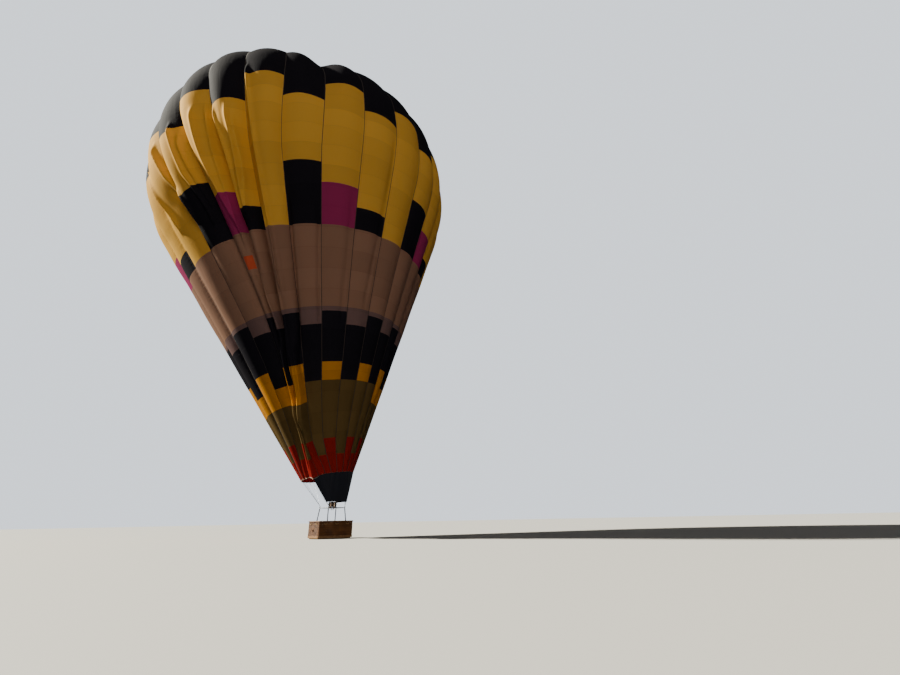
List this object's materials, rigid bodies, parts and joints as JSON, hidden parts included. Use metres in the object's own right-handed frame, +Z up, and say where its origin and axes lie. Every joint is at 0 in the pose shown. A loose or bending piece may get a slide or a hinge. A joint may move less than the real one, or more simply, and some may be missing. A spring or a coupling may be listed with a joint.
{
  "type": "hot air balloon",
  "caption": "Tall lobed hot air balloon with banded gores, a scoop at the mouth and a rectangular wicker basket under a gimballed burner.",
  "frame": {"origin": "centre of lift of the envelope, on its axis", "axes": "+Z up, X along the basket's long side, Y across the basket; the envelope's axis leans 9.4 degrees from +Z"},
  "size_m": [24.1015, 24.1063, 36.9091],
  "materials": {
    "canopy_gold": "coated ripstop nylon, slightly glossy",
    "canopy_black": "coated ripstop nylon, slightly glossy",
    "canopy_red": "coated ripstop nylon, slightly glossy",
    "canopy_plum": "coated ripstop nylon, slightly glossy",
    "canopy_taupe": "coated ripstop nylon, slightly glossy",
    "canopy_olive": "coated ripstop nylon, slightly glossy",
    "load_tape": "woven polyester webbing",
    "scoop_fabric": "flame-resistant aramid cloth, matt",
    "ring_aluminium": "machined and anodised",
    "wire_steel": "stranded stainless wire",
    "frame_steel": "welded stainless tube, brushed",
    "burner_steel": "rolled stainless sheet, heat tinted",
    "burner_aluminium": "machined block, bead blasted",
    "cylinder_steel": "deep drawn stainless, satin",
    "upright_cover": "stitched cover over a foam sleeve",
    "rim_leather": "suede over foam, stitched",
    "wicker": "woven willow and cane, varnished",
    "plywood": "birch plywood, varnished",
    "hardwood": "oiled hardwood, scuffed"
  },
  "bodies": {
    "airframe": {"gore_01": "canopy_gold", "gore_02": "canopy_gold", "gore_03": "canopy_gold", "gore_04": "canopy_gold", "gore_05": "canopy_gold", "gore_06": "canopy_gold", "gore_07": "canopy_gold", "gore_08": "canopy_gold", "gore_09": "canopy_gold", "gore_10": "canopy_gold", "gore_11": "canopy_gold", "gore_12": "canopy_gold", "gore_13": "canopy_gold", "gore_14": "canopy_gold", "gore_15": "canopy_gold", "gore_16": "canopy_gold", "gore_17": "canopy_gold", "gore_18": "canopy_gold", "gore_19": "canopy_gold", "gore_20": "canopy_gold", "gore_21": "canopy_gold", "gore_22": "canopy_gold", "gore_23": "canopy_gold", "gore_24": "canopy_gold", "gore_25": "canopy_gold", "gore_26": "canopy_gold", "gore_27": "canopy_gold", "gore_28": "canopy_gold", "mouth_band": "canopy_red", "crown_tapes": "load_tape", "crown_ring": "ring_aluminium", "flying_wires_1": "wire_steel", "flying_wires_2": "wire_steel", "flying_wires_3": "wire_steel", "flying_wires_4": "wire_steel", "scoop": "scoop_fabric", "runners": "hardwood", "floor": "plywood", "wall_back": "wicker", "wall_front": "wicker", "wall_left": "wicker", "wall_right": "wicker", "rim": "rim_leather", "partition": "wicker", "fuel_cylinder_1": "cylinder_steel", "fuel_cylinder_2": "cylinder_steel", "fuel_cylinder_3": "cylinder_steel", "fuel_cylinder_4": "cylinder_steel", "upright_1": "upright_cover", "upright_2": "upright_cover", "upright_3": "upright_cover", "upright_4": "upright_cover", "load_frame": "frame_steel"},
    "valve": {"parachute_valve": "canopy_black"},
    "gimbal": {"gimbal_ring": "frame_steel"},
    "burner": {"burner_block": "burner_aluminium", "burner_can_1": "burner_steel", "burner_can_2": "burner_steel"}
  },
  "joints": [
    {"name": "valve_slide", "type": "slide", "parent": "airframe", "child": "valve", "axis": [0.1175, -0.1135, -0.9866], "range_m": [0, 1.5]},
    {"name": "gimbal_roll", "type": "hinge", "parent": "airframe", "child": "gimbal", "pos_m": [2.83143, -2.73428, -22.65639], "axis": [1, 0, 0], "range_deg": [-15, 15]},
    {"name": "gimbal_pitch", "type": "hinge", "parent": "gimbal", "child": "burner", "pos_m": [2.83143, -2.73428, -22.65639], "axis": [0, 1, 0], "range_deg": [-15, 15]}
  ]
}
